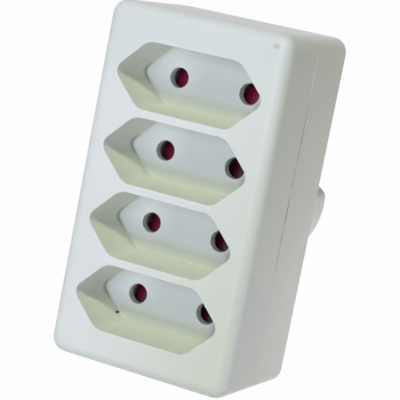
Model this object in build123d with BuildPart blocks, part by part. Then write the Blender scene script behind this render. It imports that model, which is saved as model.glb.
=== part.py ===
"""Four-way mains adapter: a white block with four two-pin sockets in front and a round two-pin plug behind.

The origin is the centre of the plug's face, between its pins. +Y points out along the pins, so the sockets
face -Y. +Z is up, with the sockets stacked one above the other. Millimetres.
"""

import math
import os

from build123d import *

# Socket wells: six-sided recesses for flat two-pin plugs
socket_count = 4
well_length = 40.2
well_flat = 24.4
well_height = 16.2
well_depth = 14.4
well_web = 2.0
well_draft = 0.6
well_tip_radius = 2.6
well_shoulder_radius = 4.5
well_floor_bevel = 1.2
cup_wall = 1.4
floor_thickness = 2.5

# Contact layout shared by the sockets and the plug
pole_spacing = 19.0
socket_hole_radius = 2.4
socket_pin_radius = 2.0
socket_pin_length = 19.0
socket_pin_tip_room = 0.2

# Housing shells
side_margin = 4.1
end_margin = 7.4
wall = 2.0
face_thickness = 2.2
back_wall = 1.4
edge_radius = 3.5
back_edge_bevel = 0.6
seam_behind_floor = 2.4
seam_chamfer = 0.2
lip_thickness = 0.9
lip_length = 1.8
lip_clearance = 0.1

# Round plug base with notches for the earth clips of a wall socket and a step on each side for its guide ribs
plug_radius = 19.4
plug_depth = 19.5
plug_rim_bevel = 0.6
plug_wall = 2.0
plug_end_wall = 3.0
notch_width = 9.0
notch_floor = 13.0
notch_radius = 1.4
step_height = 4.0
step_depth = 3.8

# Plug pins and the posts that carry them
pin_radius = 2.4
pin_length = 19.0
pin_tip_bevel = 1.1
pin_shank_radius = 2.8
pin_clearance = 0.05
pin_post_width = 8.4
pin_post_rib = 1.6
pin_collar_radius = 3.8
pin_collar_thickness = 1.5
pin_tail_clearance = 0.03

# Contact strips, in pairs that lie face to face
strip_thickness = 0.6
strip_width = 9.0
strip_end = 1.2
strip_seat = 0.6
contact_grip = 0.1
rivet_radius = 1.0
rivet_head_radius = 1.6
rivet_head_height = 0.6
rivet_clearance = 0.05

# Forked posts of the rear housing that hold the strips
fork_width = 5.0
fork_height = 2.4
fork_clearance = 0.05
fork_gap = 0.1

# Shutters, their springs and their carrier
pad_cover = 0.9
pad_side_cover = 0.5
shutter_thickness = 4.2
ramp_depth = 3.6
bar_thickness = 2.2
bar_height = 2.8
shutter_clearance = 0.3
stop_gap = 0.2
travel_clearance = 0.3
spring_thickness = 0.3
spring_width = 3.0
spring_span = 17.0
spring_crown = 6.0
spring_clearance = 0.1
carrier_plate = 1.2
carrier_rib = 1.2
carrier_key_gap = 1.3
carrier_window = 5.6
lug_width = 1.5
lug_length = 4.0
lug_clearance = 0.1

# Housing screws: self-tapping, driven from the back
screw_inset = 5.0
screw_length = 19.0
screw_radius = 1.2
screw_head_radius = 2.8
screw_head_height = 2.0
screw_sink = 8.0
screw_post_width = 7.6
screw_hole_radius = 1.6
screw_head_clearance = 0.4
screw_clearance = 0.05
screw_tip_room = 1.0
recess_length = 3.2
recess_width = 0.7
recess_depth = 1.2

# The block, worked out from its wells and margins
well_pitch = well_height + well_web
body_width = well_length + 2 * side_margin
body_height = socket_count * well_pitch + 2 * end_margin
body_depth = well_depth + socket_pin_length + socket_pin_tip_room + back_wall
socket_heights = [((socket_count - 1) / 2 - i) * well_pitch for i in range(socket_count)]
pole_x = pole_spacing / 2

# Depths along Y, from the front face to the plug's face at 0
back_y = -plug_depth
front_y = back_y - body_depth
floor_y = front_y + well_depth
seam_y = floor_y + seam_behind_floor
seam_depth = seam_y - front_y
floor_back_y = floor_y + floor_thickness
shutter_front_y = floor_back_y + shutter_clearance
shutter_back_y = shutter_front_y + shutter_thickness
plate_front_y = shutter_back_y + shutter_clearance
carrier_back_y = plate_front_y + carrier_plate
rear_inner_y = back_y - back_wall
strip_back_y = rear_inner_y - strip_seat
strip_front_y = strip_back_y - strip_width
post_end_y = strip_back_y + pin_collar_thickness
screw_seat_y = back_y - screw_sink

# Shutter pads and their travel
pad_height = 2 * (socket_hole_radius + pad_cover)
pad_width = 2 * (socket_hole_radius + pad_side_cover)
shutter_travel = pad_height / 2 + socket_pin_radius + travel_clearance
spring_room = well_pitch - pad_height - stop_gap - 2 * carrier_rib - carrier_key_gap
rail_x = pole_x + pad_width / 2 + shutter_clearance + carrier_rib / 2

# Ladder of ribs around the shutters, and the lugs that locate it on the well floors
stop_z = pad_height / 2 + stop_gap + carrier_rib / 2
shelf_z = -pad_height / 2 - spring_room - carrier_rib / 2
ladder_top = socket_heights[0] + stop_z + carrier_rib / 2
ladder_bottom = socket_heights[-1] + shelf_z - carrier_rib / 2
lug_x = rail_x + carrier_rib / 2 + lug_clearance + lug_width / 2
key_width = carrier_key_gap - 2 * lug_clearance
key_z = socket_heights[socket_count // 2] + stop_z + (carrier_rib + carrier_key_gap) / 2

# Channels, the rivet and forks along the strips
socket_channel = socket_pin_radius - contact_grip
tail_channel = pin_radius + pin_tail_clearance
strip_length = 2 * (socket_heights[0] + socket_channel + strip_thickness + strip_end)
rivet_height = (tail_channel + well_pitch / 2 - socket_channel) / 2
fork_shift = (well_pitch / 2 - socket_channel - strip_thickness) / 2
fork_heights = [side * well_pitch + shift for side in (-1, 1) for shift in (-fork_shift, fork_shift)]

# Screw places, in two opposite corners of the block
screw_x = body_width / 2 - screw_inset
screw_z = body_height / 2 - screw_inset
screw_places = [(-screw_x, screw_z), (screw_x, -screw_z)]


def facing_front(y, z=0.0):
    """A plane across the block that looks out of the sockets, so that extrusions run towards the front."""
    return Plane((0, y, z), x_dir=(1, 0, 0), z_dir=(0, -1, 0))


def well_hexagon(plane, grow):
    """The well's sharp hexagon, its walls moved outwards by grow."""
    slope = math.atan2(well_height, well_length - well_flat)
    tip = well_length / 2 + grow / math.sin(slope)
    rise = well_height / 2 + grow
    flat = tip - rise / math.tan(slope)
    with BuildSketch(plane) as outline:
        with BuildLine():
            Polyline(
                (tip, 0),
                (flat, rise),
                (-flat, rise),
                (-tip, 0),
                (-flat, -rise),
                (flat, -rise),
                close=True,
            )
        make_face()
    return outline.sketch


def block_outline(plane, inset=0):
    """The block's outside, a rectangle with round corners, moved inwards by inset."""
    with BuildSketch(plane) as outline:
        RectangleRounded(body_width - 2 * inset, body_height - 2 * inset, edge_radius - inset)
    return outline.sketch


def block_inside(plane, inset):
    """A plain rectangle inside the block's wall, inset from its outside."""
    with BuildSketch(plane) as outline:
        Rectangle(body_width - 2 * inset, body_height - 2 * inset)
    return outline.sketch


def plug_outline(plane, inset):
    """The plug's round section with its notches and side steps, moved inwards by inset."""
    step_x = plug_radius - step_depth - inset + plug_radius / 2
    step_z = step_height - inset + plug_radius / 2
    with BuildSketch(plane) as outline:
        Circle(plug_radius - inset)
        with GridLocations(0, 2 * (notch_floor - inset) + plug_radius, 1, 2):
            Rectangle(notch_width + 2 * inset, plug_radius, mode=Mode.SUBTRACT)
        with Locations((step_x, step_z), (-step_x, -step_z)):
            Rectangle(plug_radius, plug_radius, mode=Mode.SUBTRACT)
    return outline.sketch


def lip_ring(plane, slack):
    """The ring that joins the two shells inside the wall, wider by slack on both sides."""
    with BuildSketch(plane) as ring:
        add(block_outline(Plane.XY, wall - lip_thickness - slack))
        add(block_inside(Plane.XY, wall + slack), mode=Mode.SUBTRACT)
    return ring.sketch


def corner_circles(plane, radius):
    """Circles at the two screw places."""
    with BuildSketch(plane) as circles:
        with Locations(*screw_places):
            Circle(radius)
    return circles.sketch


def block_hollow(plane):
    """The room inside the wall, less a square post in each of the two screw corners."""
    with BuildSketch(plane) as hollow:
        add(block_inside(Plane.XY, wall))
        with Locations(*screw_places):
            Rectangle(screw_post_width, screw_post_width, mode=Mode.SUBTRACT)
    return hollow.sketch


def pole_circles(plane, radius):
    """Circles on the two plug pins' axes."""
    with BuildSketch(plane) as circles:
        with GridLocations(pole_spacing, 0, 2, 1):
            Circle(radius)
    return circles.sketch


def socket_circles(plane, radius):
    """Circles on the pin axes of every socket."""
    with BuildSketch(plane) as circles:
        with GridLocations(pole_spacing, well_pitch, 2, socket_count):
            Circle(radius)
    return circles.sketch


# Well: the room that a plug's body fills, with soft corners, drafted walls and a bevel round its floor
with BuildPart() as well:
    with BuildSketch(facing_front(floor_y)) as well_floor:
        add(well_hexagon(Plane.XY, -well_draft))
        tips = well_floor.vertices().group_by(Axis.X)
        fillet(tips[0] + tips[-1], well_tip_radius - well_draft)
        shoulders = well_floor.vertices().group_by(Axis.Y)
        fillet(shoulders[0] + shoulders[-1], well_shoulder_radius - well_draft)
    extrude(amount=well_depth, taper=-math.degrees(math.atan2(well_draft, well_depth)))
    chamfer(well.faces().sort_by(Axis.Y)[-1].edges(), well_floor_bevel)

# Front housing: the face, the four wells, the screw posts, and lugs that locate the shutter carrier
with BuildPart() as front_housing:
    extrude(block_outline(facing_front(seam_y)), amount=seam_depth)
    fillet(front_housing.faces().sort_by(Axis.Y)[0].edges(), edge_radius)
    chamfer(front_housing.faces().sort_by(Axis.Y)[-1].edges(), seam_chamfer)
    extrude(block_hollow(facing_front(seam_y)), amount=seam_depth - face_thickness, mode=Mode.SUBTRACT)
    cup_root = face_thickness / 2
    for height in socket_heights:
        cup = well_hexagon(facing_front(floor_back_y, height), cup_wall)
        extrude(cup, amount=floor_back_y - front_y - cup_root)
    lip_groove = lip_ring(facing_front(seam_y), lip_clearance)
    extrude(lip_groove, amount=lip_length + lip_clearance, mode=Mode.SUBTRACT)
    with BuildSketch(facing_front(carrier_back_y)):
        with GridLocations(2 * lug_x, 2 * socket_heights[0], 2, 2):
            Rectangle(lug_width, lug_length)
        with Locations((0, key_z)):
            Rectangle(lug_length, key_width)
    extrude(amount=carrier_back_y - floor_back_y)
    with Locations(*[(0, 0, height) for height in socket_heights]):
        add(well.part, mode=Mode.SUBTRACT)
    pin_holes = socket_circles(facing_front(floor_back_y), socket_hole_radius)
    extrude(pin_holes, amount=floor_thickness, mode=Mode.SUBTRACT)
    pilot_depth = seam_y - screw_seat_y + screw_length + screw_tip_room
    pilot_holes = corner_circles(facing_front(seam_y), screw_radius + screw_clearance)
    extrude(pilot_holes, amount=pilot_depth, mode=Mode.SUBTRACT)
front_housing.part.label = "front_housing"

# Rear housing: the back shell with the round plug base, the pin posts, the strip forks and the screw posts
with BuildPart() as rear_housing:
    extrude(block_outline(facing_front(back_y)), amount=back_y - seam_y)
    chamfer(rear_housing.faces().sort_by(Axis.Y)[-1].edges(), back_edge_bevel)
    chamfer(rear_housing.faces().sort_by(Axis.Y)[0].edges(), seam_chamfer)
    extrude(plug_outline(facing_front(0), 0), amount=plug_depth + back_wall / 2)
    plug_corners = rear_housing.edges().filter_by(Axis.Y).group_by(SortBy.LENGTH)[-1]
    fillet(plug_corners, notch_radius)
    chamfer(rear_housing.faces().sort_by(Axis.Y)[-1].edges(), plug_rim_bevel)
    extrude(block_hollow(facing_front(rear_inner_y)), amount=rear_inner_y - seam_y, mode=Mode.SUBTRACT)
    plug_inner_y = -plug_end_wall
    plug_hollow = plug_outline(facing_front(plug_inner_y), plug_wall)
    extrude(plug_hollow, amount=plug_inner_y - rear_inner_y, mode=Mode.SUBTRACT)
    with BuildSketch(facing_front(plug_inner_y)):
        with GridLocations(pole_spacing, 0, 2, 1):
            Rectangle(pin_post_width, pin_post_width)
        Rectangle(2 * plug_radius - plug_wall, pin_post_rib)
    extrude(amount=plug_inner_y - post_end_y)
    pin_bores = pole_circles(facing_front(0), pin_shank_radius + pin_clearance)
    extrude(pin_bores, amount=-post_end_y, mode=Mode.SUBTRACT)
    fork_places = [(side * pole_x, height) for side in (-1, 1) for height in fork_heights]
    with BuildSketch(facing_front(rear_inner_y)):
        with Locations(*fork_places):
            Rectangle(fork_width, fork_height)
    extrude(amount=rear_inner_y - carrier_back_y - fork_gap)
    with BuildSketch(facing_front(strip_back_y)):
        with Locations(*fork_places):
            Rectangle(2 * (strip_thickness + fork_clearance), fork_height)
    extrude(amount=strip_back_y - carrier_back_y, mode=Mode.SUBTRACT)
    screw_holes = corner_circles(facing_front(back_y), screw_hole_radius)
    extrude(screw_holes, amount=back_y - seam_y, mode=Mode.SUBTRACT)
    head_holes = corner_circles(facing_front(back_y), screw_head_radius + screw_head_clearance)
    extrude(head_holes, amount=screw_sink, mode=Mode.SUBTRACT)
    extrude(lip_ring(facing_front(seam_y), 0), amount=lip_length)
rear_housing.part.label = "rear_housing"

# Shutter carrier: a plate with a ladder of ribs, held behind the well floors by the rear housing's forks
with BuildPart() as shutter_carrier:
    with BuildSketch(facing_front(carrier_back_y)):
        with Locations((0, (ladder_top + ladder_bottom) / 2)):
            Rectangle(2 * rail_x + carrier_rib, ladder_top - ladder_bottom)
        with GridLocations(pole_spacing, well_pitch, 2, socket_count):
            Rectangle(carrier_window, carrier_window, mode=Mode.SUBTRACT)
        with Locations((0, key_z)):
            Rectangle(lug_length + 2 * lug_clearance, key_width + 2 * lug_clearance, mode=Mode.SUBTRACT)
    extrude(amount=carrier_plate)
    with BuildSketch(facing_front(plate_front_y)):
        with GridLocations(2 * rail_x, 0, 2, 1):
            with Locations((0, (ladder_top + ladder_bottom) / 2)):
                Rectangle(carrier_rib, ladder_top - ladder_bottom)
        for height in socket_heights:
            with Locations((0, height + stop_z), (0, height + shelf_z)):
                Rectangle(2 * rail_x, carrier_rib)
    extrude(amount=plate_front_y - floor_back_y)
shutter_carrier.part.label = "shutter_carrier"

# Shutters: a bar with a ramped pad behind each hole. Two plug pins together push it down, out of their way
shutters = []
for number, height in enumerate(socket_heights, start=1):
    with BuildPart() as shutter:
        for side in (-1, 1):
            with BuildSketch(Plane.YZ.offset(side * pole_x - pad_width / 2)):
                with BuildLine():
                    Polyline(
                        (shutter_front_y, height - pad_height / 2),
                        (shutter_back_y, height - pad_height / 2),
                        (shutter_back_y, height + pad_height / 2),
                        (shutter_front_y + ramp_depth, height + pad_height / 2),
                        close=True,
                    )
                make_face()
            extrude(amount=pad_width)
        with BuildSketch(facing_front(shutter_back_y, height)):
            with Locations((0, (bar_height - pad_height) / 2)):
                Rectangle(pole_spacing, bar_height)
        extrude(amount=bar_thickness)
    shutter.part.label = f"shutter_{number}"
    shutters.append(shutter.part)

# Shutter springs: bent steel leaves that stand on the carrier's shelves and push the shutters up
springs = []
for number, height in enumerate(socket_heights, start=1):
    spring_foot = height - pad_height / 2 - spring_room + spring_clearance / 2
    spring_rise = spring_room - spring_clearance
    spring_back_y = (floor_back_y + plate_front_y + spring_width) / 2
    leg_slope = spring_rise / ((spring_span - spring_crown) / 2)
    leg_thickness = spring_thickness * math.hypot(1, leg_slope) / leg_slope
    with BuildPart() as spring:
        with BuildSketch(facing_front(spring_back_y, spring_foot)):
            outside = (spring_span / 2, spring_rise, Mode.ADD)
            inside = (spring_span / 2 - leg_thickness, spring_rise - spring_thickness, Mode.SUBTRACT)
            for foot, crown, mode in (outside, inside):
                knee = foot - crown / leg_slope
                with BuildLine():
                    Polyline((-foot, 0), (-knee, crown), (knee, crown), (foot, 0), close=True)
                make_face(mode=mode)
        extrude(amount=spring_width)
    spring.part.label = f"shutter_spring_{number}"
    springs.append(spring.part)

# Contact strips: two stamped strips for each pole, bowed into a channel at every pin
strips = []
for pole, pole_side in (("left", -1), ("right", 1)):
    for layer, layer_side in (("inner", -1), ("outer", 1)):
        bow = pole_side * layer_side
        strip_x = pole_side * pole_x
        with BuildPart() as strip:
            with BuildSketch(facing_front(strip_back_y)):
                with Locations((strip_x + bow * strip_thickness / 2, 0)):
                    Rectangle(strip_thickness, strip_length)
                channels = [(strip_x, height) for height in socket_heights]
                with Locations(*channels):
                    RegularPolygon(socket_channel + strip_thickness, 6, major_radius=False, rotation=30)
                with Locations((strip_x, 0)):
                    RegularPolygon(tail_channel + strip_thickness, 6, major_radius=False, rotation=30)
                with Locations(*channels):
                    RegularPolygon(socket_channel, 6, major_radius=False, rotation=30, mode=Mode.SUBTRACT)
                with Locations((strip_x, 0)):
                    RegularPolygon(tail_channel, 6, major_radius=False, rotation=30, mode=Mode.SUBTRACT)
                with Locations((strip_x - bow * pole_x / 2, 0)):
                    Rectangle(pole_x, strip_length, mode=Mode.SUBTRACT)
            extrude(amount=strip_width)
            with BuildSketch(Plane.YZ.offset(strip_x)):
                with Locations((strip_back_y - strip_width / 2, rivet_height)):
                    Circle(rivet_radius + rivet_clearance)
            extrude(amount=bow * strip_thickness, mode=Mode.SUBTRACT)
        strip.part.label = f"{pole}_contact_{layer}"
        strips.append(strip.part)

# Rivets: one beside each plug pin's tail clamps the two strips of its pole together
rivets = []
for pole, pole_side in (("left", -1), ("right", 1)):
    rivet_place = (strip_back_y - strip_width / 2, rivet_height)
    with BuildPart() as rivet:
        with BuildSketch(Plane.YZ.offset(pole_side * (pole_x - strip_thickness))):
            with Locations(rivet_place):
                Circle(rivet_radius)
        extrude(amount=pole_side * 2 * strip_thickness)
        with BuildSketch(Plane.YZ.offset(pole_side * (pole_x + strip_thickness))):
            with Locations(rivet_place):
                Circle(rivet_head_radius)
        extrude(amount=pole_side * rivet_head_height)
    rivet.part.label = f"{pole}_rivet"
    rivets.append(rivet.part)

# Plug pins: turned, with a thicker shank in the post, a collar behind it and a tail between the strips
pins = []
for pole, pole_side in (("left", -1), ("right", 1)):
    turned = [
        (pin_length, strip_front_y, pin_radius),
        (0, post_end_y, pin_shank_radius),
        (post_end_y, strip_back_y, pin_collar_radius),
    ]
    with BuildPart() as pin:
        for end_y, start_y, radius in turned:
            with BuildSketch(facing_front(end_y)):
                with Locations((pole_side * pole_x, 0)):
                    Circle(radius)
            extrude(amount=end_y - start_y)
        chamfer(pin.faces().sort_by(Axis.Y)[-1].edges(), pin_tip_bevel)
    pin.part.label = f"{pole}_plug_pin"
    pins.append(pin.part)

# Housing screws: pan heads with a cross recess, sunk in the rear housing's posts
with BuildPart() as housing_screws:
    screw_top_y = screw_seat_y + screw_head_height
    extrude(corner_circles(facing_front(screw_top_y), screw_head_radius), amount=screw_head_height)
    extrude(corner_circles(facing_front(screw_seat_y), screw_radius), amount=screw_length)
    with BuildSketch(facing_front(screw_top_y)):
        with Locations(*screw_places):
            Rectangle(recess_length, recess_width)
            Rectangle(recess_width, recess_length)
    extrude(amount=recess_depth, mode=Mode.SUBTRACT)
housing_screws.part.label = "housing_screws"

os.makedirs("parts", exist_ok=True)
pieces = [front_housing.part, rear_housing.part, shutter_carrier.part, housing_screws.part]
for piece in pieces + shutters + springs + strips + rivets + pins:
    export_step(piece, f"parts/{piece.label}.step")
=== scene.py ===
"""A four-way mains adapter: a column of six-sided socket wells in front, and a round two-pin plug behind."""

import math

import bmesh
import bpy
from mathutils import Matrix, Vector


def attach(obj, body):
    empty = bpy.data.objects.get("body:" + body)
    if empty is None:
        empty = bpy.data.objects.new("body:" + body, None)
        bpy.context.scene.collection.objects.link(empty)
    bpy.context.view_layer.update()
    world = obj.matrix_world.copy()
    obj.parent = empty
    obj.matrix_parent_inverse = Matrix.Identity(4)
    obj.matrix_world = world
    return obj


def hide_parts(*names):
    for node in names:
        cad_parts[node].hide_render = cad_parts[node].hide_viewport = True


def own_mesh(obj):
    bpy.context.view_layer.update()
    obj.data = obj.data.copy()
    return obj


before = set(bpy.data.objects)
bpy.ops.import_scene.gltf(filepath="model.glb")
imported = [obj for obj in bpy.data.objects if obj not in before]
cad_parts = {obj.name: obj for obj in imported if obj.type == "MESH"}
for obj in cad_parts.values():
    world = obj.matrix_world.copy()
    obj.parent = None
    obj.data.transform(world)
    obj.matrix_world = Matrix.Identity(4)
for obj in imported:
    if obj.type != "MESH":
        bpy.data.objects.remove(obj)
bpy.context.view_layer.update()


# Front housing. The face of the adapter, one injection moulding in off-white ABS: four deep six-sided wells
# with drafted walls and soft floors, and side walls that run back to the seam. Two posts inside take the
# screws. Sizes are in millimetres, and every depth is counted from the face.
MM = 0.001
front_y, seam_depth, face_depth, floor_back_depth = -54.5, 16.8, 2.2, 16.9
half_width, half_height = 24.2, 43.8
corner_radius, least_corner, face_fillet, seam_round = 3.7, 0.3, 3.2, 0.1
socket_count, well_pitch, pole_x = 4, 18.2, 9.5
well_heights = [((socket_count - 1) / 2 - i) * well_pitch for i in range(socket_count)]
well_tip, well_rise, well_slope = 20.1, 8.1, math.atan2(16.2, 15.8)
well_tip_radius, well_shoulder_radius = 2.6, 4.5
well_depth, well_draft, mouth_round, floor_fillet = 14.4, 0.55, 0.15, 0.9
hole_places, hole_break, well_drop = ((-9.5, 2.5), (9.65, 2.65)), 0.1, 0.1
cup_wall, groove_inset, groove_depth, hollow_inset = 1.3, 1.0, 14.9, 2.1
post_width, post_x, post_z, pilot_radius, pilot_depth = 7.6, 19.2, 38.8, 1.25, 7.0
lug_places = [(x, z, 1.5, 4.0) for x in (-14.75, 14.75) for z in (27.3, -27.3)] + [(0, -3.75, 4.0, 1.1)]
lug_end_depth = 22.9
quarter = [math.radians(15 * k) for k in range(7)]


def rounded(corners, radii, steps):
    """The outline through the corners, each rounded to its radius in equal steps, or left sharp for 0."""
    points = []
    count = len(corners)
    for i, radius in enumerate(radii):
        if not radius:
            points.append(corners[i])
            continue
        here = Vector(corners[i])
        back = (Vector(corners[i - 1]) - here).normalized()
        ahead = (Vector(corners[(i + 1) % count]) - here).normalized()
        half = back.angle(ahead) / 2
        centre = here + (back + ahead).normalized() * (radius / math.sin(half))
        start = here + back * (radius / math.tan(half)) - centre
        turn = math.copysign(math.pi - 2 * half, back.cross(ahead))
        for k in range(steps + 1):
            angle = -turn * k / steps
            cos, sin = math.cos(angle), math.sin(angle)
            x = centre.x + start.x * cos - start.y * sin
            z = centre.y + start.x * sin + start.y * cos
            points.append((x, z))
    return points


def circle(x, z, radius, steps=32):
    """Points round a circle."""
    turns = [2 * math.pi * k / steps for k in range(steps)]
    return [(x + radius * math.cos(t), z + radius * math.sin(t)) for t in turns]


def front_edge(radius, depth, turns):
    """The inset and depth along an edge that rounds a flat, at the depth, into the wall behind it."""
    return [(radius * (1 - math.sin(t)), depth + radius * (1 - math.cos(t))) for t in turns]


def back_edge(radius, depth, turns):
    """The inset and depth along an edge that rounds a wall into the flat behind it, at the depth."""
    return [(radius * (1 - math.cos(t)), depth - radius * (1 - math.sin(t))) for t in turns]


def block_ring(inset):
    """The block's outline with its round corners, moved inwards by inset."""
    x, z = half_width - inset, half_height - inset
    radius = max(corner_radius - inset, least_corner)
    return rounded([(x, z), (-x, z), (-x, -z), (x, -z)], [radius] * 4, steps=8)


def well_corners(grow):
    """The six corners of a well with its walls moved outwards by grow."""
    tip, rise = well_tip + grow / math.sin(well_slope), well_rise + grow
    flat = tip - rise / math.tan(well_slope)
    return [(tip, 0), (flat, rise), (-flat, rise), (-tip, 0), (-flat, -rise), (flat, -rise)]


def well_ring(grow):
    """The well's outline with its round tips and shoulders, moved outwards by grow."""
    tip, shoulder = well_tip_radius + grow, well_shoulder_radius + grow
    return rounded(well_corners(grow), [tip, shoulder, shoulder] * 2, steps=12)


def ring(mesh, points, depth, lift=0.0):
    """Vertices on the outline at a depth behind the face."""
    return [mesh.verts.new((x * MM, (front_y + depth) * MM, (z + lift) * MM)) for x, z in points]


def bridge(mesh, first, second):
    """A wall of quads between two outlines with the same number of points."""
    for i in range(len(first)):
        mesh.faces.new((first[i - 1], first[i], second[i], second[i - 1]))


def tube(mesh, rings):
    """Walls from each outline to the next."""
    for first, second in zip(rings, rings[1:]):
        bridge(mesh, first, second)


def fill(mesh, *loops):
    """A flat face inside the first outline, with the other outlines left open."""
    pairs = [(loop[i - 1], loop[i]) for loop in loops for i in range(len(loop))]
    edges = [mesh.edges.get(pair) or mesh.edges.new(pair) for pair in pairs]
    bmesh.ops.triangle_fill(mesh, use_beauty=True, edges=edges)


def hollow_room(mesh, rim, rim_depth, floor_depth, inset, bores):
    """The room inside the wall, with a square post in two corners. Returns the outline of its floor."""
    x, z = half_width - inset, half_height - inset
    beside, below = post_x - post_width / 2, post_z - post_width / 2
    half = [(-x, -z), (beside, -z), (beside, -below), (x, -below)]
    room = half + [(-a, -b) for a, b in half]
    edge, floor = ring(mesh, room, rim_depth), ring(mesh, room, floor_depth)
    fill(mesh, rim, edge, *bores)
    bridge(mesh, edge, floor)
    return floor


def piece_from(mesh, name):
    """An object at the origin made from the mesh."""
    data = bpy.data.meshes.new(name)
    mesh.to_mesh(data)
    mesh.free()
    piece = bpy.data.objects.new(name, data)
    bpy.context.scene.collection.objects.link(piece)
    return piece


def plain(piece):
    """Turns what the piece's modifiers make into its own mesh."""
    made = bpy.data.meshes.new_from_object(piece.evaluated_get(bpy.context.evaluated_depsgraph_get()))
    piece.modifiers.clear()
    piece.data = made
    made.name = piece.name


def smooth(piece, angle=35):
    """Points the faces outwards, and shades them smooth up to the angle, with flat faces kept flat."""
    mesh = bmesh.new()
    mesh.from_mesh(piece.data)
    bmesh.ops.recalc_face_normals(mesh, faces=mesh.faces)
    mesh.to_mesh(piece.data)
    mesh.free()
    piece.data.polygons.foreach_set("use_smooth", [True] * len(piece.data.polygons))
    piece.data.set_sharp_from_angle(angle=math.radians(angle))
    weighted = piece.modifiers.new("flat_faces", "WEIGHTED_NORMAL")
    weighted.keep_sharp = True
    plain(piece)


well_mesh = bmesh.new()
well_profile = front_edge(mouth_round, 0, quarter[::2])
well_profile += [
    (-well_draft - floor_fillet * (1 - math.cos(t)), well_depth - floor_fillet * (1 - math.sin(t)))
    for t in quarter
]
well_rings = [ring(well_mesh, well_ring(grow), depth, -well_drop) for grow, depth in well_profile]
tube(well_mesh, well_rings)
hole_profile = front_edge(hole_break, 0, quarter[::3])
hole_mouths = []
for x, radius in hole_places:
    rings = [
        ring(well_mesh, circle(x, -well_drop, radius + grow), well_depth + sink)
        for grow, sink in hole_profile
    ]
    rings.append(ring(well_mesh, circle(x, -well_drop, radius), floor_back_depth))
    tube(well_mesh, rings)
    hole_mouths.append(rings[0])
fill(well_mesh, well_rings[-1], *hole_mouths)
well = piece_from(well_mesh, "socket_well")

shell = bmesh.new()
skin_profile = front_edge(face_fillet, 0, quarter) + back_edge(seam_round, seam_depth, quarter[::3])
skin_profile += [(groove_inset, seam_depth), (groove_inset, groove_depth)]
skin = [ring(shell, block_ring(inset), depth) for inset, depth in skin_profile]
tube(shell, skin)
fill(shell, skin[0], *[ring(shell, well_ring(mouth_round), 0, lift - well_drop) for lift in well_heights])
pilot_mouths = []
for side in (-1, 1):
    outline = circle(side * post_x, -side * post_z, pilot_radius, steps=20)
    pilot = [ring(shell, outline, depth) for depth in (groove_depth, pilot_depth)]
    bridge(shell, *pilot)
    fill(shell, pilot[1])
    pilot_mouths.append(pilot[0])
face_back = hollow_room(shell, skin[-1], groove_depth, face_depth, hollow_inset, pilot_mouths)

cup_tip, cup_end = well_corners(cup_wall)[:2]
valley = cup_tip[0] - well_pitch / 2 / math.tan(well_slope)
cup = [(-cup_end[0], well_heights[0] + cup_end[1])]
for lift in well_heights:
    cup += [(-cup_tip[0], lift), (-valley, lift - well_pitch / 2)]
cup[-1] = (-cup_end[0], well_heights[-1] - cup_end[1])
cup += [(-x, z) for x, z in reversed(cup)]
cup_rings = [ring(shell, cup, depth) for depth in (face_depth, floor_back_depth)]
bridge(shell, *cup_rings)
fill(shell, face_back, cup_rings[0])
floor_openings = [
    ring(shell, circle(x, -well_drop, radius), floor_back_depth, lift)
    for x, radius in hole_places for lift in well_heights
]
for x, z, width, height in lug_places:
    outline = [(x + a * width / 2, z + b * height / 2) for a, b in ((1, 1), (-1, 1), (-1, -1), (1, -1))]
    lug = [ring(shell, outline, depth) for depth in (floor_back_depth, lug_end_depth)]
    bridge(shell, *lug)
    shell.faces.new(lug[1])
    floor_openings.append(lug[0])
fill(shell, cup_rings[1], *floor_openings)
front_housing = piece_from(shell, "front_shell")


def linear(code):
    """The linear colour of an sRGB hex value."""
    parts = [int(code[i:i + 2], 16) / 255 for i in (1, 3, 5)]
    return [c / 12.92 if c <= 0.04045 else ((c + 0.055) / 1.055) ** 2.4 for c in parts] + [1.0]


def add_node(tree, kind, inputs=(), **settings):
    """Adds a node with its settings, and links or sets its inputs."""
    node = tree.nodes.new(kind)
    for name, value in settings.items():
        setattr(node, name, value)
    for socket, value in dict(inputs).items():
        if isinstance(value, bpy.types.NodeSocket):
            tree.links.new(value, node.inputs[socket])
        else:
            node.inputs[socket].default_value = value
    return node


def new_material(name):
    """An empty material, with its tree, its shader and the object's own coordinates."""
    material = bpy.data.materials.new(name)
    material.use_nodes = True
    tree = material.node_tree
    shader = tree.nodes["Principled BSDF"]
    where = add_node(tree, "ShaderNodeTexCoord").outputs["Object"]
    return material, tree, shader, where


def link_finish(tree, shader, tone, gloss, relief=None):
    """Links a material's colour, its roughness and the relief that it may have to its shader."""
    tree.links.new(tone, shader.inputs["Base Color"])
    tree.links.new(gloss.outputs["Result"], shader.inputs["Roughness"])
    if relief:
        tree.links.new(relief.outputs["Normal"], shader.inputs["Normal"])


# Off-white ABS, moulded in a spark-eroded tool: a satin surface with a fine even grain and a faint uneven
# tone. The grain of about 0.15 mm is drawn at 0.5 mm, so that it shows. Each colour in covers lies over the
# ones before it: first the painted shade on the face and the right side, then the films in the wells, then
# the marks.
abs_plastic, tree, shader, where = new_material("moulded_abs_off_white")
mottle = add_node(tree, "ShaderNodeTexNoise", {"Vector": where, "Scale": 1 / (11 * MM), "Detail": 3.0})
grain = add_node(tree, "ShaderNodeTexNoise", {"Vector": where, "Scale": 1 / (0.5 * MM), "Detail": 2.0})
tone = add_node(tree, "ShaderNodeMix", {
    "Factor": mottle.outputs["Fac"], 6: linear("#E7E8E6"), 7: linear("#E0E2DE"),
}, data_type="RGBA").outputs[2]

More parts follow.
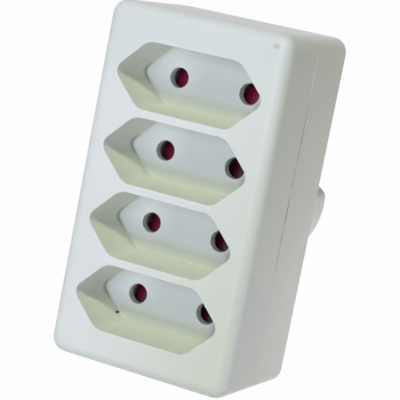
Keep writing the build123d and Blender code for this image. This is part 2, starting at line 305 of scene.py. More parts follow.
# Where a point lies, which way it faces, and whether it is in the box that holds the wells or on the face.
place = add_node(tree, "ShaderNodeSeparateXYZ", {"Vector": where}).outputs
normal = add_node(tree, "ShaderNodeNewGeometry").outputs["Normal"]
facing = add_node(tree, "ShaderNodeSeparateXYZ", {"Vector": normal}).outputs
floor_y, seam_y = front_y + well_depth, front_y + seam_depth
wells_box = (("X", -20.6, 20.6), ("Y", front_y + 0.5, floor_y + 0.3), ("Z", -36.4, 36.4))
inside = 1.0
for axis, low, high in wells_box:
    middle, reach = (low + high) / 2 * MM, (high - low) / 2 * MM
    off = add_node(tree, "ShaderNodeMath", {0: place[axis], 1: middle}, operation="SUBTRACT").outputs[0]
    size = add_node(tree, "ShaderNodeMath", {0: off}, operation="ABSOLUTE").outputs[0]
    within = add_node(tree, "ShaderNodeMath", {0: size, 1: reach}, operation="LESS_THAN").outputs[0]
    inside = add_node(tree, "ShaderNodeMath", {0: within, 1: inside}, operation="MULTIPLY").outputs[0]
frontal = add_node(tree, "ShaderNodeMapRange", {
    "Value": facing["Y"], "From Min": -0.3, "From Max": -0.9,
}).outputs["Result"]
outer = add_node(tree, "ShaderNodeMath", {
    0: frontal, 1: inside,
}, operation="SUBTRACT", use_clamp=True).outputs[0]

# Painted shade: the face is darker and warmer towards its lower right and darker towards its top, and the
# right side is darker towards its top.
low_right = add_node(tree, "ShaderNodeMath", {
    0: place["Z"], 1: -0.35, 2: place["X"],
}, operation="MULTIPLY_ADD").outputs[0]
painted_outer_shade = add_node(tree, "ShaderNodeMapRange", {
    "Value": low_right, "From Min": -3 * MM, "From Max": 32 * MM,
}).outputs["Result"]
painted_outer_shade = add_node(tree, "ShaderNodeMath", {0: painted_outer_shade, 1: outer}, operation="MULTIPLY").outputs[0]
upper = add_node(tree, "ShaderNodeMapRange", {
    "Value": place["Z"], "From Min": -20 * MM, "From Max": 40 * MM, "To Min": 0.15, "To Max": 0.9,
}).outputs["Result"]
outmost = add_node(tree, "ShaderNodeMapRange", {
    "Value": place["X"], "From Min": 20 * MM, "From Max": 22 * MM, "To Max": upper,
}).outputs["Result"]
painted_side_shade = add_node(tree, "ShaderNodeMapRange", {
    "Value": facing["X"], "From Min": 0.3, "From Max": 0.9, "To Max": outmost,
}).outputs["Result"]
painted_side_shade = add_node(tree, "ShaderNodeMath", {
    0: painted_side_shade, 1: inside,
}, operation="SUBTRACT", use_clamp=True).outputs[0]
painted_outer_shade = add_node(tree, "ShaderNodeMath", {0: painted_outer_shade, 1: painted_side_shade}, operation="MAXIMUM").outputs[0]
painted_top_shade = add_node(tree, "ShaderNodeMapRange", {
    "Value": place["Z"], "From Min": 22 * MM, "From Max": 40 * MM, "To Max": 0.4,
}).outputs["Result"]
painted_top_shade = add_node(tree, "ShaderNodeMath", {0: painted_top_shade, 1: outer}, operation="MULTIPLY").outputs[0]
covers = [(painted_outer_shade, "#D2D5C5"), (painted_top_shade, "#CED5D2")]

# In each well, painted light makes the floor pale on the upper left, and a cream film of dust and painted
# warm light lies on the walls that face up and along the foot of the floor. The height in a well is counted
# from its middle.
in_well = place["Z"]
for operation, length in (("ADD", 2 * well_pitch), ("MODULO", well_pitch), ("SUBTRACT", well_pitch / 2)):
    in_well = add_node(tree, "ShaderNodeMath", {0: in_well, 1: length * MM}, operation=operation).outputs[0]
up_dust_and_light = add_node(tree, "ShaderNodeMapRange", {
    "Value": facing["Z"], "From Min": 0.05, "From Max": 0.7, "To Max": 0.55,
}).outputs["Result"]
foot_dust_and_light = add_node(tree, "ShaderNodeMapRange", {
    "Value": in_well, "From Min": -5.0 * MM, "From Max": -3.2 * MM, "To Min": 0.6, "To Max": 0.0,
}).outputs["Result"]
foot_dust_and_light = add_node(tree, "ShaderNodeMath", {0: foot_dust_and_light, 1: frontal}, operation="MULTIPLY").outputs[0]
above = add_node(tree, "ShaderNodeMapRange", {
    "Value": in_well, "From Min": -3.0 * MM, "From Max": 0.5 * MM, "To Max": 0.85,
}).outputs["Result"]
painted_floor_light = add_node(tree, "ShaderNodeMapRange", {
    "Value": place["X"], "From Min": -3 * MM, "From Max": -10 * MM, "To Max": above,
}).outputs["Result"]
painted_floor_light = add_node(tree, "ShaderNodeMath", {0: painted_floor_light, 1: frontal}, operation="MULTIPLY").outputs[0]
# Painted light on the floor's upper left, then dust with painted warm light on up-facing walls and the
# floor's foot.
for film, colour in ((painted_floor_light, "#FAFBFA"), (up_dust_and_light, "#D8DCB2"), (foot_dust_and_light, "#C3C7A2")):
    film = add_node(tree, "ShaderNodeMath", {0: film, 1: inside}, operation="MULTIPLY").outputs[0]
    covers.append((film, colour))

# Marks with soft edges: painted shade in both tips of the wells, a darker brownish patch under the right-hand
# holes, a broken dark line along the seam with a painted highlight at its top, a smudge at the face's top
# right, and a speck in the last well.
from_well = add_node(tree, "ShaderNodeCombineXYZ", {
    "X": place["X"], "Y": place["Y"], "Z": in_well,
}).outputs[0]
from_seam = add_node(tree, "ShaderNodeCombineXYZ", {"Y": place["Y"], "Z": place["Z"]}).outputs[0]
patches = add_node(tree, "ShaderNodeTexNoise", {"Vector": where, "Scale": 1 / (7 * MM), "Detail": 2.0})
broken = add_node(tree, "ShaderNodeMapRange", {
    "Value": patches.outputs["Fac"], "From Min": 0.36, "From Max": 0.5,
}).outputs["Result"]
steep = add_node(tree, "ShaderNodeMapRange", {
    "Value": facing["Y"], "From Min": -0.8, "From Max": -0.3,
}).outputs["Result"]
shaded = add_node(tree, "ShaderNodeMath", {0: steep, 1: inside}, operation="MULTIPLY").outputs[0]
# The first two marks are painted shade in the wells' tips; the fifth is a painted highlight at the seam's
# top.
for spot, centre, radii, core, strength, mask, colour in (
    (from_well, (-17.8, floor_y, -0.6), (3.0, 2.4, 4.4), 0.2, 0.7, shaded, "#50564F"),
    (from_well, (19.0, floor_y, -2.0), (3.0, 3.0, 4.0), 0.2, 0.35, inside, "#6A6F66"),
    (from_well, (15.0, floor_y, -3.2), (4.2, 3.0, 2.8), 0.3, 0.75, inside, "#827D70"),
    (from_seam, (0, seam_y, 6), (1, 0.3, 25), 0.7, 0.8, broken, "#55534C"),
    (from_seam, (0, seam_y - 0.2, 35), (1, 0.45, 8), 0.3, 0.9, None, "#F6F8F4"),
    (where, (20.4, front_y, 40.6), (1.2, 1.0, 0.9), 0.0, 0.4, None, "#5C675C"),
    (where, (-13.8, floor_y - 0.8, -33.25), (0.45, 1.2, 0.45), 0.8, 0.95, None, "#15130F"),
):
    apart = add_node(tree, "ShaderNodeVectorMath", {
        0: spot, 1: [v * MM for v in centre],
    }, operation="SUBTRACT").outputs["Vector"]
    apart = add_node(tree, "ShaderNodeVectorMath", {
        0: apart, 1: [1 / (v * MM) for v in radii],
    }, operation="MULTIPLY").outputs["Vector"]
    apart = add_node(tree, "ShaderNodeVectorMath", {0: apart}, operation="LENGTH").outputs["Value"]
    mark = add_node(tree, "ShaderNodeMapRange", {
        "Value": apart, "From Min": core, "From Max": 1.0, "To Min": strength, "To Max": 0.0,
    }).outputs["Result"]
    if mask:
        mark = add_node(tree, "ShaderNodeMath", {0: mark, 1: mask}, operation="MULTIPLY").outputs[0]
    covers.append((mark, colour))
for cover, colour in covers:
    tone = add_node(tree, "ShaderNodeMix", {
        "Factor": cover, 6: tone, 7: linear(colour),
    }, data_type="RGBA").outputs[2]
gloss = add_node(tree, "ShaderNodeMapRange", {"Value": grain.outputs["Fac"], "To Min": 0.38, "To Max": 0.54})
relief = add_node(tree, "ShaderNodeBump", {
    "Height": grain.outputs["Fac"], "Strength": 0.12, "Distance": 0.02 * MM,
})
link_finish(tree, shader, tone, gloss, relief)
shader.inputs["IOR"].default_value = 1.54

# A row of copies of one shape, each turned further than the last, welded to the piece that they belong to.
weld_gap = 0.004
row = bpy.data.node_groups.new("row_of_copies", "GeometryNodeTree")
row.is_modifier = True
for name, kind in (
    ("Base", "Geometry"), ("Copy", "Object"), ("Count", "Int"), ("First Place", "Vector"), ("Step", "Vector"),
    ("Turn", "Float"), ("Finish", "Material"),
):
    row.interface.new_socket(name, in_out="INPUT", socket_type=f"NodeSocket{kind}")
row.interface.new_socket("Whole", in_out="OUTPUT", socket_type="NodeSocketGeometry")
given = add_node(row, "NodeGroupInput").outputs
line = add_node(row, "GeometryNodeMeshLine", {
    "Count": given["Count"], "Start Location": given["First Place"], "Offset": given["Step"],
})
one = add_node(row, "GeometryNodeObjectInfo", {"Object": given["Copy"]})
order = add_node(row, "GeometryNodeInputIndex")
turned = add_node(row, "ShaderNodeMath", {0: order.outputs["Index"], 1: given["Turn"]}, operation="MULTIPLY")
upright = add_node(row, "ShaderNodeCombineXYZ", {"Z": turned.outputs[0]})
copies = add_node(row, "GeometryNodeInstanceOnPoints", {
    "Points": line.outputs["Mesh"], "Instance": one.outputs["Geometry"], "Rotation": upright.outputs[0],
})
joined = add_node(row, "GeometryNodeJoinGeometry", {"Geometry": given["Base"]})
row.links.new(copies.outputs["Instances"], joined.inputs["Geometry"])
real = add_node(row, "GeometryNodeRealizeInstances", {"Geometry": joined.outputs["Geometry"]})
merged = add_node(row, "GeometryNodeMergeByDistance", {
    "Geometry": real.outputs["Geometry"], "Distance": weld_gap * MM,
})
finished = add_node(row, "GeometryNodeSetMaterial", {
    "Geometry": merged.outputs["Geometry"], "Material": given["Finish"],
})
add_node(row, "NodeGroupOutput", {"Whole": finished.outputs["Geometry"]})


def add_row(piece, copy, count, first, step, finish, turn=0.0):
    """Joins a row of copies to the piece, in place of the copy itself, and gives it one finish."""
    for made in (piece, copy):
        made.data.materials.append(finish)
    modifier = piece.modifiers.new("row_of_copies", "NODES")
    modifier.node_group = row
    sockets = {item.name: item.identifier for item in row.interface.items_tree if item.in_out == "INPUT"}
    modifier[sockets["Copy"]] = copy
    modifier[sockets["Count"]] = count
    modifier[sockets["First Place"]] = [v * MM for v in first]
    modifier[sockets["Step"]] = [v * MM for v in step]
    modifier[sockets["Turn"]] = turn
    modifier[sockets["Finish"]] = finish
    plain(piece)
    bpy.data.objects.remove(copy)


add_row(front_housing, well, socket_count, (0, 0, well_heights[0]), (0, 0, -well_pitch), abs_plastic)
smooth(front_housing)
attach(front_housing, "housing")
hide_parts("front_housing")


# Rear housing. The back shell in the same ABS, with the round plug base, its notches for earth clips, a step
# on each side for guide ribs, posts inside for the pins, and forks for the contact strips. Two sunk screws
# hold it to the front housing.
back_depth, inner_depth, plug_end_depth, plug_inner_depth = 35.0, 33.6, 54.5, 51.5
lip_inset, lip_depth, rear_wall, back_round, plug_round = 1.1, 15.0, 2.0, 1.2, 0.8
plug_radius, plug_wall, notch_half, notch_floor, notch_round = 19.0, 2.0, 4.5, 13.0, 1.4
step_height, step_floor, step_round, step_root_round, least_round = 4.1, 15.6, 2.4, 1.2, 0.1
long_arc, short_arc = 14, 6
screw_bore, head_bore, head_depth, bore_break, bore_bevel = 1.6, 3.2, 27.0, 0.25, 0.07
pin_places, pin_bore, pin_post_radius, pin_post_depth = (-pole_x, pole_x), 2.85, 4.1, 34.5
fork_heights, fork_height, fork_inner, fork_outer, fork_end_depth = (17.6, 21.8), 2.4, 0.65, 2.5, 23.0


def plug_ring(inset):
    """The plug's outline with its notches and side steps, moved inwards by inset."""
    radius, notch, floor = plug_radius - inset, notch_half + inset, notch_floor - inset
    ledge, shelf = step_height - inset, step_floor - inset
    mouth_turn, shelf_turn = math.acos(notch / radius), math.acos(shelf / radius)
    ledge_turn = math.asin(ledge / radius)

    def arc(start, end, count):
        turns = [start + (end - start) * k / count for k in range(count + 1)]
        return [(radius * math.cos(t), radius * math.sin(t)) for t in turns]

    half = [(notch, -floor), *arc(-mouth_turn, ledge_turn, long_arc), (shelf, ledge)]
    half += [*arc(shelf_turn, mouth_turn, short_arc), (notch, floor)]
    outer, inner = max(notch_round - inset, least_round), notch_round + inset
    step_corners = [max(step_round - inset, least_round), step_root_round + inset, outer]
    radii = [inner, outer] + [0] * (long_arc - 1) + step_corners + [0] * (short_arc - 1) + [outer, inner]
    return rounded(half + [(-x, -z) for x, z in half], radii * 2, steps=6)


rear = bmesh.new()
back_profile = [(lip_inset, lip_depth), (lip_inset, seam_depth)]
back_profile += front_edge(seam_round, seam_depth, quarter[::3]) + back_edge(back_round, back_depth, quarter)
back_skin = [ring(rear, block_ring(inset), depth) for inset, depth in back_profile]
tube(rear, back_skin)
bore_profile = [
    (screw_bore, lip_depth),
    (screw_bore, head_depth),
    (head_bore, head_depth),
    (head_bore, back_depth - bore_break),
    (head_bore + bore_bevel, back_depth - bore_bevel),
    (head_bore + bore_break, back_depth),
]
screw_bores = []
for side in (-1, 1):
    x, z = side * post_x, -side * post_z
    bore = [ring(rear, circle(x, z, radius), depth) for radius, depth in bore_profile]
    tube(rear, bore)
    screw_bores.append(bore)
bore_mouths = [bore[0] for bore in screw_bores]
room_floor = hollow_room(rear, back_skin[0], lip_depth, inner_depth, rear_wall, bore_mouths)
plug_profile = [(0, back_depth)] + back_edge(plug_round, plug_end_depth, quarter)
plug = [ring(rear, plug_ring(inset), depth) for inset, depth in plug_profile]
tube(rear, plug)
fill(rear, back_skin[-1], plug[0], *[bore[-1] for bore in screw_bores])
pin_bores = [
    [ring(rear, circle(x, 0, pin_bore), depth) for depth in (plug_end_depth, pin_post_depth)]
    for x in pin_places
]
pin_posts = [
    [ring(rear, circle(x, 0, pin_post_radius), depth) for depth in (plug_inner_depth, pin_post_depth)]
    for x in pin_places
]
for bore, post in zip(pin_bores, pin_posts):
    bridge(rear, *bore)
    bridge(rear, *post)
    bridge(rear, bore[1], post[1])
fill(rear, plug[-1], *[bore[0] for bore in pin_bores])
plug_hollow = [ring(rear, plug_ring(plug_wall), depth) for depth in (inner_depth, plug_inner_depth)]
bridge(rear, *plug_hollow)
fill(rear, plug_hollow[1], *[post[0] for post in pin_posts])
prong_feet = []
for x, height in [(x, side * h) for x in pin_places for side in (-1, 1) for h in fork_heights]:
    top, bottom = height + fork_height / 2, height - fork_height / 2
    for low, high in ((x - fork_outer, x - fork_inner), (x + fork_inner, x + fork_outer)):
        outline = [(high, top), (low, top), (low, bottom), (high, bottom)]
        prong = [ring(rear, outline, depth) for depth in (inner_depth, fork_end_depth)]
        bridge(rear, *prong)
        rear.faces.new(prong[1])
        prong_feet.append(prong[0])
fill(rear, room_floor, plug_hollow[0], *prong_feet)
rear_housing = piece_from(rear, "rear_shell")
rear_housing.data.materials.append(abs_plastic)
smooth(rear_housing)
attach(rear_housing, "housing")
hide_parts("rear_housing")


# Shutter carrier. A ladder of ribs on a plate, clamped behind the well floors by the rear housing's forks. It
# guides the shutters and carries their springs. It is moulded in light grey nylon, which is a little cloudy
# and has a dull sheen.
nylon, tree, shader, where = new_material("moulded_nylon_light_grey")
cloud = add_node(tree, "ShaderNodeTexNoise", {"Vector": where, "Scale": 1 / (6 * MM), "Detail": 3.0})
tone = add_node(tree, "ShaderNodeMix", {
    "Factor": cloud.outputs["Fac"], 6: linear("#B9BBB9"), 7: linear("#A6A9A6"),
}, data_type="RGBA").outputs[2]
gloss = add_node(tree, "ShaderNodeMapRange", {"Value": cloud.outputs["Fac"], "To Min": 0.42, "To Max": 0.6})
link_finish(tree, shader, tone, gloss)
shader.inputs["IOR"].default_value = 1.53
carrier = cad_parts["shutter_carrier"].data
carrier.materials.clear()
carrier.materials.append(nylon)


# Shutters. Four sliding safety shutters, each one moulding: a bar with a crowned, ramped pad behind each pin
# hole. Two pins together push the ramps down. Crimson acetal is smooth and waxy, with a soft gloss and faint
# flow, and painted shade darkens the lower three, most of all their right-hand pads.
acetal, tree, shader, where = new_material("moulded_acetal_crimson")
flow = add_node(tree, "ShaderNodeTexNoise", {"Vector": where, "Scale": 1 / (3 * MM), "Detail": 2.0})
tone = add_node(tree, "ShaderNodeMix", {
    "Factor": flow.outputs["Fac"], 6: linear("#8E0D3E"), 7: linear("#7A0832"),
}, data_type="RGBA").outputs[2]
place = add_node(tree, "ShaderNodeSeparateXYZ", {"Vector": where}).outputs
# Painted shade: darker on the lower three shutters, and most on their right-hand pads.
lower_shade = add_node(tree, "ShaderNodeMapRange", {
    "Value": place["Z"], "From Min": 20 * MM, "From Max": 14 * MM,
}).outputs["Result"]
least = add_node(tree, "ShaderNodeMath", {0: lower_shade, 1: 0.25}, operation="MULTIPLY").outputs[0]
painted_pad_shade = add_node(tree, "ShaderNodeMapRange", {
    "Value": place["X"], "From Min": 2 * MM, "From Max": 12 * MM, "To Min": least, "To Max": lower_shade,
}).outputs["Result"]
tone = add_node(tree, "ShaderNodeMix", {
    "Factor": painted_pad_shade, 6: tone, 7: linear("#2E0414"),
}, data_type="RGBA").outputs[2]
gloss = add_node(tree, "ShaderNodeMapRange", {"Value": flow.outputs["Fac"], "To Min": 0.25, "To Max": 0.4})
link_finish(tree, shader, tone, gloss)
shader.inputs["IOR"].default_value = 1.48
pad_half, pad_rise, pad_crown, pad_shoulder = 2.9, 3.3, 1.8, 0.3
ramp_front, ramp_run, pad_back = 17.4, 2.2, 21.4
bar_half, bar_front, bar_height, bar_tuck = 9.5, 19.2, 2.8, 0.02
crown_turns = [math.radians(-80 + 16 * k) for k in range(11)]
pad_levels = [pad_rise * k / 4 for k in range(-4, 5)]
for number, height in enumerate(well_heights, start=1):
    pad_mesh = bmesh.new()
    for pole in pin_places:
        loops = []
        for level in pad_levels:
            front = ramp_front + ramp_run * (level + pad_rise) / (2 * pad_rise)
            crown = [
                (pad_half * math.sin(t) / math.sin(crown_turns[-1]), front + pad_crown * (1 - math.cos(t)))
                for t in crown_turns
            ]
            section = [(pole + x, min(depth, pad_back - pad_shoulder)) for x, depth in crown]
            section += [(pole + pad_half, pad_back), (pole - pad_half, pad_back)]
            points = [(x * MM, (front_y + depth) * MM, (height + level) * MM) for x, depth in section]
            loops.append([pad_mesh.verts.new(point) for point in points])
        tube(pad_mesh, loops)
        pad_mesh.faces.new(loops[0])
        pad_mesh.faces.new(loops[-1])
    pads = piece_from(pad_mesh, f"shutter_{number}_pads")
    bar_mesh = bmesh.new()
    low, high = -pad_rise + bar_tuck, -pad_rise + bar_height
    outline = [(bar_half, high), (-bar_half, high), (-bar_half, low), (bar_half, low)]
    bar = [ring(bar_mesh, outline, depth, height) for depth in (bar_front, pad_back - bar_tuck)]
    bridge(bar_mesh, *bar)
    bar_mesh.faces.new(bar[0])
    bar_mesh.faces.new(bar[1])
    shutter = piece_from(bar_mesh, f"shutter_{number}_moulding")
    shutter.data.materials.append(acetal)
    pads.data.materials.append(acetal)
    smooth(pads)
    smooth(shutter)
    union = shutter.modifiers.new("one_moulding", "BOOLEAN")
    union.operation, union.solver, union.object = "UNION", "EXACT", pads
    plain(shutter)
    bpy.data.objects.remove(pads)
    smooth(shutter)
    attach(shutter, f"shutter_{number}")
    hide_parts(f"shutter_{number}")


# Shutter springs. Leaves of rolled stainless spring steel, bent to an arch, that stand on the carrier's
# shelves and push the shutters up. On the real adapter they flatten as a shutter comes down; here each leaf
# keeps its arch. Rolling leaves fine lines along the strip, which are drawn 0.2 mm wide so that they show.
spring_steel, tree, shader, where = new_material("rolled_spring_steel")
along = add_node(tree, "ShaderNodeMapping", {"Vector": where, "Scale": [1 / (v * MM) for v in (8, 0.2, 8)]})
lines = add_node(tree, "ShaderNodeTexNoise", {"Vector": along.outputs["Vector"], "Scale": 1.0, "Detail": 2.0})
tone = add_node(tree, "ShaderNodeMix", {
    "Factor": lines.outputs["Fac"], 6: linear("#B4B7BA"), 7: linear("#8F9397"),
}, data_type="RGBA").outputs[2]
gloss = add_node(tree, "ShaderNodeMapRange", {"Value": lines.outputs["Fac"], "To Min": 0.22, "To Max": 0.42})
relief = add_node(tree, "ShaderNodeBump", {
    "Height": lines.outputs["Fac"], "Strength": 0.15, "Distance": 0.01 * MM,
})
link_finish(tree, shader, tone, gloss, relief)
shader.inputs["Metallic"].default_value = 1.0
foot_half, crown_half, leaf_rise, leaf_thickness = 8.5, 3.0, 7.6, 0.3
leaf_front, leaf_back, foot_drop, shutter_travel = 17.8, 20.8, 10.95, 5.6
outer_knee, inner_knee = 1.3, 1.0
lean = leaf_rise / (foot_half - crown_half)
inner_rise = leaf_rise - leaf_thickness
inner_foot = foot_half - leaf_thickness * math.hypot(1, lean) / lean
inner_crown = inner_foot - inner_rise / lean
outer_leaf = [(foot_half, 0), (crown_half, leaf_rise), (-crown_half, leaf_rise), (-foot_half, 0)]
inner_leaf = [(-inner_foot, 0), (-inner_crown, inner_rise), (inner_crown, inner_rise), (inner_foot, 0)]
knees = [0, outer_knee, outer_knee, 0, 0, inner_knee, inner_knee, 0]
leaf_outline = rounded(outer_leaf + inner_leaf, knees, steps=6)
for number, height in enumerate(well_heights, start=1):
    leaf = bmesh.new()
    sides = [ring(leaf, leaf_outline, depth, height - foot_drop) for depth in (leaf_front, leaf_back)]
    bridge(leaf, *sides)
    for side in sides:
        fill(leaf, side)
    spring = piece_from(leaf, f"shutter_{number}_leaf_spring")
    spring.data.materials.append(spring_steel)
    smooth(spring)
    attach(spring, "housing")
    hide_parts(f"shutter_spring_{number}")
    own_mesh(spring)


# Contact strips. Two stamped brass strips for each pole, face to face, bowed round every pin and held in the
# rear housing's forks. Cold rolling leaves fine lines along them, drawn 0.25 mm wide so that they show, and
# the brass has begun to tarnish in patches.
brass, tree, shader, where = new_material("rolled_brass_strip")
along = add_node(tree, "ShaderNodeMapping", {"Vector": where, "Scale": [1 / (v * MM) for v in (6, 0.25, 9)]})
lines = add_node(tree, "ShaderNodeTexNoise", {"Vector": along.outputs["Vector"], "Scale": 1.0, "Detail": 2.0})
tarnish = add_node(tree, "ShaderNodeTexNoise", {"Vector": where, "Scale": 1 / (5 * MM), "Detail": 4.0})
tone = add_node(tree, "ShaderNodeMix", {
    "Factor": tarnish.outputs["Fac"], 6: linear("#D9B45C"), 7: linear("#A98338"),
}, data_type="RGBA").outputs[2]
gloss = add_node(tree, "ShaderNodeMapRange", {"Value": lines.outputs["Fac"], "To Min": 0.22, "To Max": 0.45})
relief = add_node(tree, "ShaderNodeBump", {
    "Height": lines.outputs["Fac"], "Strength": 0.15, "Distance": 0.01 * MM,
})
link_finish(tree, shader, tone, gloss, relief)
shader.inputs["Metallic"].default_value = 1.0
for name in ("left_contact_inner", "left_contact_outer", "right_contact_inner", "right_contact_outer"):
    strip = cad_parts[name].data
    strip.materials.clear()
    strip.materials.append(brass)


# Rivets. One brass rivet for each pole clamps its two strips together beside the plug pin's tail. It is cold
# headed: the punch leaves a domed head with a faintly dimpled skin, and the shank's end is peened flush with
# the inner strip.
headed_brass, tree, shader, where = new_material("cold_headed_brass")
dimple = add_node(tree, "ShaderNodeTexNoise", {"Vector": where, "Scale": 1 / (0.4 * MM), "Detail": 2.0})
tone = add_node(tree, "ShaderNodeMix", {
    "Factor": dimple.outputs["Fac"], 6: linear("#CFA953"), 7: linear("#B38C3F"),
}, data_type="RGBA").outputs[2]
gloss = add_node(tree, "ShaderNodeMapRange", {"Value": dimple.outputs["Fac"], "To Min": 0.25, "To Max": 0.45})
relief = add_node(tree, "ShaderNodeBump", {
    "Height": dimple.outputs["Fac"], "Strength": 0.2, "Distance": 0.02 * MM,
})
link_finish(tree, shader, tone, gloss, relief)
shader.inputs["Metallic"].default_value = 1.0
rivet_y, rivet_z, rivet_radius, peen_radius, peen_break = -26.0, 4.815, 1.0, 0.85, 0.15
strip_thickness, rivet_head_radius, rivet_head, rivet_edge, dome_run = 0.6, 1.6, 0.6, 0.2, 0.9
rivet_mesh = bmesh.new()
rivet_profile = [
    (peen_radius, strip_thickness),
    (rivet_radius, strip_thickness - peen_break),
    (rivet_radius, -strip_thickness),
    (rivet_head_radius, -strip_thickness),
    (rivet_head_radius, -strip_thickness - rivet_edge),
]
for t in quarter[1:]:
    radius = rivet_head_radius - dome_run * (1 - math.cos(t))
    rivet_profile.append((radius, -strip_thickness - rivet_edge - (rivet_head - rivet_edge) * math.sin(t)))
rivet_rings = []
for radius, across in rivet_profile:
    points = circle(0, 0, radius, steps=24)
    rivet_rings.append([rivet_mesh.verts.new((across * MM, y * MM, z * MM)) for y, z in points])
tube(rivet_mesh, rivet_rings)
rivet_mesh.faces.new(rivet_rings[0])
rivet_mesh.faces.new(rivet_rings[-1])
rivet = piece_from(rivet_mesh, "one_rivet")
rivets = piece_from(bmesh.new(), "strip_rivets")
add_row(rivets, rivet, 2, (-pole_x, rivet_y, rivet_z), (2 * pole_x, 0, 0), headed_brass, turn=math.pi)
smooth(rivets)
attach(rivets, "housing")
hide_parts("left_rivet", "right_rivet")


# Plug pins. Two brass pins turned on a lathe and nickel plated, with long round tips, a shank and a collar
# that the post holds, and a tail between the strips. Fine tool rings, drawn 0.35 mm apart so that they show,
# come through the plating, and use has scuffed it lengthwise.
nickel, tree, shader, where = new_material("nickel_plated_brass")
along = add_node(tree, "ShaderNodeMapping", {"Vector": where, "Scale": [1 / (v * MM) for v in (9, 0.35, 9)]})
tool_rings = add_node(tree, "ShaderNodeTexNoise", {
    "Vector": along.outputs["Vector"], "Scale": 1.0, "Detail": 1.0,
})
along = add_node(tree, "ShaderNodeMapping", {"Vector": where, "Scale": [1 / (v * MM) for v in (0.4, 7, 0.4)]})
scuffs = add_node(tree, "ShaderNodeTexNoise", {
    "Vector": along.outputs["Vector"], "Scale": 1.0, "Detail": 3.0,
})
tone = add_node(tree, "ShaderNodeMix", {
    "Factor": scuffs.outputs["Fac"], 6: linear("#C6C7CA"), 7: linear("#A6A8AD"),
}, data_type="RGBA").outputs[2]
gloss = add_node(tree, "ShaderNodeMapRange", {"Value": scuffs.outputs["Fac"], "To Min": 0.14, "To Max": 0.36})
relief = add_node(tree, "ShaderNodeBump", {
    "Height": tool_rings.outputs["Fac"], "Strength": 0.12, "Distance": 0.01 * MM,
})
link_finish(tree, shader, tone, gloss, relief)
shader.inputs["Metallic"].default_value = 1.0
pin_radius, pin_end_depth, pin_tip_round, pin_nose = 2.4, 73.5, 2.2, 4.2
shank_radius, shank_break, collar_radius, collar_depth, collar_break = 2.8, 0.1, 3.8, 33.0, 0.15
tail_depth, tail_end_radius, tail_bevel = 24.0, 1.9, 0.5
pin_profile = [
    (tail_end_radius, tail_depth),
    (pin_radius, tail_depth + tail_bevel),
    (pin_radius, collar_depth),
    (collar_radius - collar_break, collar_depth),
    (collar_radius, collar_depth + collar_break),
    (collar_radius, pin_post_depth - collar_break),
    (collar_radius - collar_break, pin_post_depth),
    (shank_radius, pin_post_depth),
    (shank_radius, plug_end_depth - shank_break),
    (shank_radius - shank_break, plug_end_depth),
    (pin_radius, plug_end_depth),
]
for t in quarter:
    radius = pin_radius - pin_tip_round * (1 - math.cos(t))
    pin_profile.append((radius, pin_end_depth - pin_nose * (1 - math.sin(t))))
pin_mesh = bmesh.new()
pin_rings = [ring(pin_mesh, circle(0, 0, radius, steps=48), depth) for radius, depth in pin_profile]
tube(pin_mesh, pin_rings)
pin_mesh.faces.new(pin_rings[0])
pin_mesh.faces.new(pin_rings[-1])
pin = piece_from(pin_mesh, "one_pin")
pins = piece_from(bmesh.new(), "plug_pins")
add_row(pins, pin, 2, (-pole_x, 0, 0), (2 * pole_x, 0, 0), nickel)
smooth(pins)
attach(pins, "housing")
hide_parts("left_plug_pin", "right_plug_pin")


# Housing screws. Two self-tapping steel screws, cold headed with a pan head and a cross recess, and rolled
# with a coarse thread. They sit deep in the back's counterbores and draw the two shells together. Their zinc
# plating has a fine spangle and a faint yellow haze.
zinc, tree, shader, where = new_material("zinc_plated_steel")
spangle = add_node(tree, "ShaderNodeTexVoronoi", {"Vector": where, "Scale": 1 / (0.6 * MM)})
haze = add_node(tree, "ShaderNodeTexNoise", {"Vector": where, "Scale": 1 / (1.5 * MM), "Detail": 3.0})
tone = add_node(tree, "ShaderNodeMix", {
    "Factor": haze.outputs["Fac"], 6: linear("#C3C8CF"), 7: linear("#A8A79B"),
}, data_type="RGBA").outputs[2]
gloss = add_node(tree, "ShaderNodeMapRange", {
    "Value": spangle.outputs["Distance"], "To Min": 0.28, "To Max": 0.5,
})
relief = add_node(tree, "ShaderNodeBump", {
    "Height": haze.outputs["Fac"], "Strength": 0.1, "Distance": 0.02 * MM,
})
link_finish(tree, shader, tone, gloss, relief)
shader.inputs["Metallic"].default_value = 1.0
head_radius, head_height, head_flat, head_top_round, head_break = 2.8, 2.0, 1.9, 0.9, 0.1
thread_core, thread_radius, thread_pitch, thread_step, ridge_slope = 0.85, 1.2, 1.2, 0.1, 4
screw_tip_depth, point_length, point_start, screw_sides = 8.0, 3, 0.15, 24
cross_half, cross_width, cross_foot, cross_depth = 1.6, 0.35, 0.75, 1.2
screw_mesh = bmesh.new()
thread_rings = []
for level in range(int((head_depth - screw_tip_depth) / thread_step)):
    depth = screw_tip_depth + thread_step * level
    taper = min(1.0, (depth - screw_tip_depth) / point_length + point_start)
    points = []
    for k in range(screw_sides):
        turn = depth / thread_pitch + k / screw_sides
        ridge = max(0.0, 1 - abs(turn % 1 - 0.5) * ridge_slope)
        radius = taper * (thread_core + (thread_radius - thread_core) * ridge)
        angle = 2 * math.pi * k / screw_sides
        points.append((radius * math.cos(angle), radius * math.sin(angle)))
    thread_rings.append(ring(screw_mesh, points, depth))
head_top = head_depth + head_height
head_profile = [
    (thread_core, head_depth),
    (head_radius - head_break, head_depth),
    (head_radius, head_depth + head_break),
]
for t in quarter:
    radius = head_flat + head_top_round * math.cos(t)
    head_profile.append((radius, head_top - head_top_round * (1 - math.sin(t))))
thread_rings += [ring(screw_mesh, circle(0, 0, radius, screw_sides), depth) for radius, depth in head_profile]
tube(screw_mesh, thread_rings)
screw_mesh.faces.new(thread_rings[0])
arms = [(cross_half, cross_width), (cross_width, cross_width), (cross_width, cross_half)]
cross = arms + [(-x, z) for x, z in reversed(arms)]
cross += [(-x, -z) for x, z in cross]
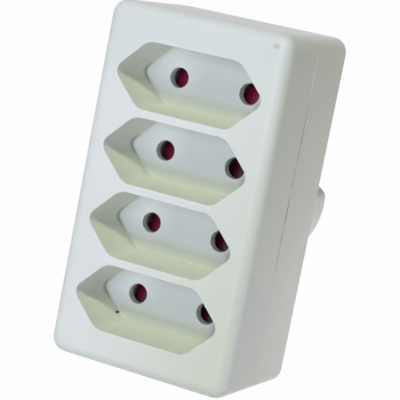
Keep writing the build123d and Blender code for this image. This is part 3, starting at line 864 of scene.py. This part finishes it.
recess_floor = [(x * cross_foot, z * cross_foot) for x, z in cross]
recess = [ring(screw_mesh, cross, head_top), ring(screw_mesh, recess_floor, head_top - cross_depth)]
fill(screw_mesh, thread_rings[-1], recess[0])
bridge(screw_mesh, *recess)
fill(screw_mesh, recess[1])
screw = piece_from(screw_mesh, "one_screw")
screws = piece_from(bmesh.new(), "pan_head_screws")
add_row(screws, screw, 2, (-post_x, 0, post_z), (2 * post_x, 0, -2 * post_z), zinc)
smooth(screws)
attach(screws, "housing")
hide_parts("housing_screws")


# Stage. A floor of matt white paper that the adapter stands on, in a white room, and the camera of the
# photograph. Soft boxes stand in front, high in front, behind and on the left, and a small card close behind
# the right side throws some light on the plug base.
floor_half, floor_glow, room_light = 20.0, 0.975, 0.06


def seen_rays(tree):
    """One for a ray from the camera, off something glossy or through something clear, and otherwise zero."""
    ray = add_node(tree, "ShaderNodeLightPath").outputs
    seen = ray["Is Camera Ray"]
    for other in ("Is Glossy Ray", "Is Transmission Ray"):
        seen = add_node(tree, "ShaderNodeMath", {0: seen, 1: ray[other]}, operation="MAXIMUM").outputs[0]
    return seen


floor_mesh = bmesh.new()
corners = ((-1, -1), (1, -1), (1, 1), (-1, 1))
points = [(x * floor_half, y * floor_half, -half_height * MM) for x, y in corners]
floor_mesh.faces.new([floor_mesh.verts.new(point) for point in points])
floor = piece_from(floor_mesh, "floor")
paper, tree, shader = new_material("white_paper")[:3]
shader.inputs["Base Color"].default_value = linear("#F2F2F2")
shader.inputs["Roughness"].default_value = 0.9
glow = add_node(tree, "ShaderNodeMath", {0: seen_rays(tree), 1: floor_glow}, operation="MULTIPLY")
white = add_node(tree, "ShaderNodeEmission", {"Color": linear("#FFFFFF"), "Strength": 1.0})
both = add_node(tree, "ShaderNodeMixShader", {0: glow.outputs[0], 1: shader.outputs[0], 2: white.outputs[0]})
tree.links.new(both.outputs[0], tree.nodes["Material Output"].inputs["Surface"])
floor.data.materials.append(paper)

world = bpy.data.worlds.new("studio")
bpy.context.scene.world = world
world.use_nodes = True
tree = world.node_tree
room = tree.nodes["Background"]
room.inputs["Color"].default_value = linear("#F4F6FA")
room.inputs["Strength"].default_value = room_light
white = add_node(tree, "ShaderNodeBackground", {"Color": linear("#FFFFFF"), "Strength": 1.0})
both = add_node(tree, "ShaderNodeMixShader", {0: seen_rays(tree), 1: room.outputs[0], 2: white.outputs[0]})
tree.links.new(both.outputs[0], tree.nodes["World Output"].inputs["Surface"])

aim = Vector((0, -0.03, 0))
for name, stand, width, height, power, colour in (
    ("front_softbox", (0.05, -1.15, 0.12), 0.5, 0.4, 4.65, "#D5E5FD"),
    ("top_softbox", (0.36, -1.84, 1.86), 0.48, 0.48, 36.0, "#FBFAF5"),
    ("back_softbox", (0.0, 1.2, 0.36), 0.5, 0.5, 5.0, "#DFE8FC"),
    ("left_softbox", (-1.2, 0.1, 0.35), 0.5, 0.5, 1.5, "#F4F7FA"),
    ("back_card", (0.085, 0.045, -0.034), 0.08, 0.015, 0.026, "#FAFBF4"),
):
    lamp = bpy.data.lights.new(name, "AREA")
    lamp.shape, lamp.size, lamp.size_y, lamp.energy = "RECTANGLE", width, height, power
    lamp.color = linear(colour)[:3]
    holder = bpy.data.objects.new(name, lamp)
    holder.location, holder.visible_camera = stand, False
    holder.visible_glossy = name in ("front_softbox", "top_softbox")
    holder.rotation_euler = (aim - Vector(stand)).to_track_quat("-Z", "Y").to_euler()
    bpy.context.scene.collection.objects.link(holder)

lens = bpy.data.cameras.new("photo_camera")
lens.lens, lens.sensor_width = 161.29, 36.0
lens.clip_start, lens.clip_end = 0.01, 100.0
camera = bpy.data.objects.new("photo_camera", lens)
camera.location = (0.1825379, -0.4315878, 0.0629867)
camera.rotation_euler = [math.radians(a) for a in (81.44427, -10.94334, 26.36641)]
bpy.context.scene.collection.objects.link(camera)
bpy.context.scene.camera = camera
bpy.context.scene.view_settings.view_transform = "Standard"
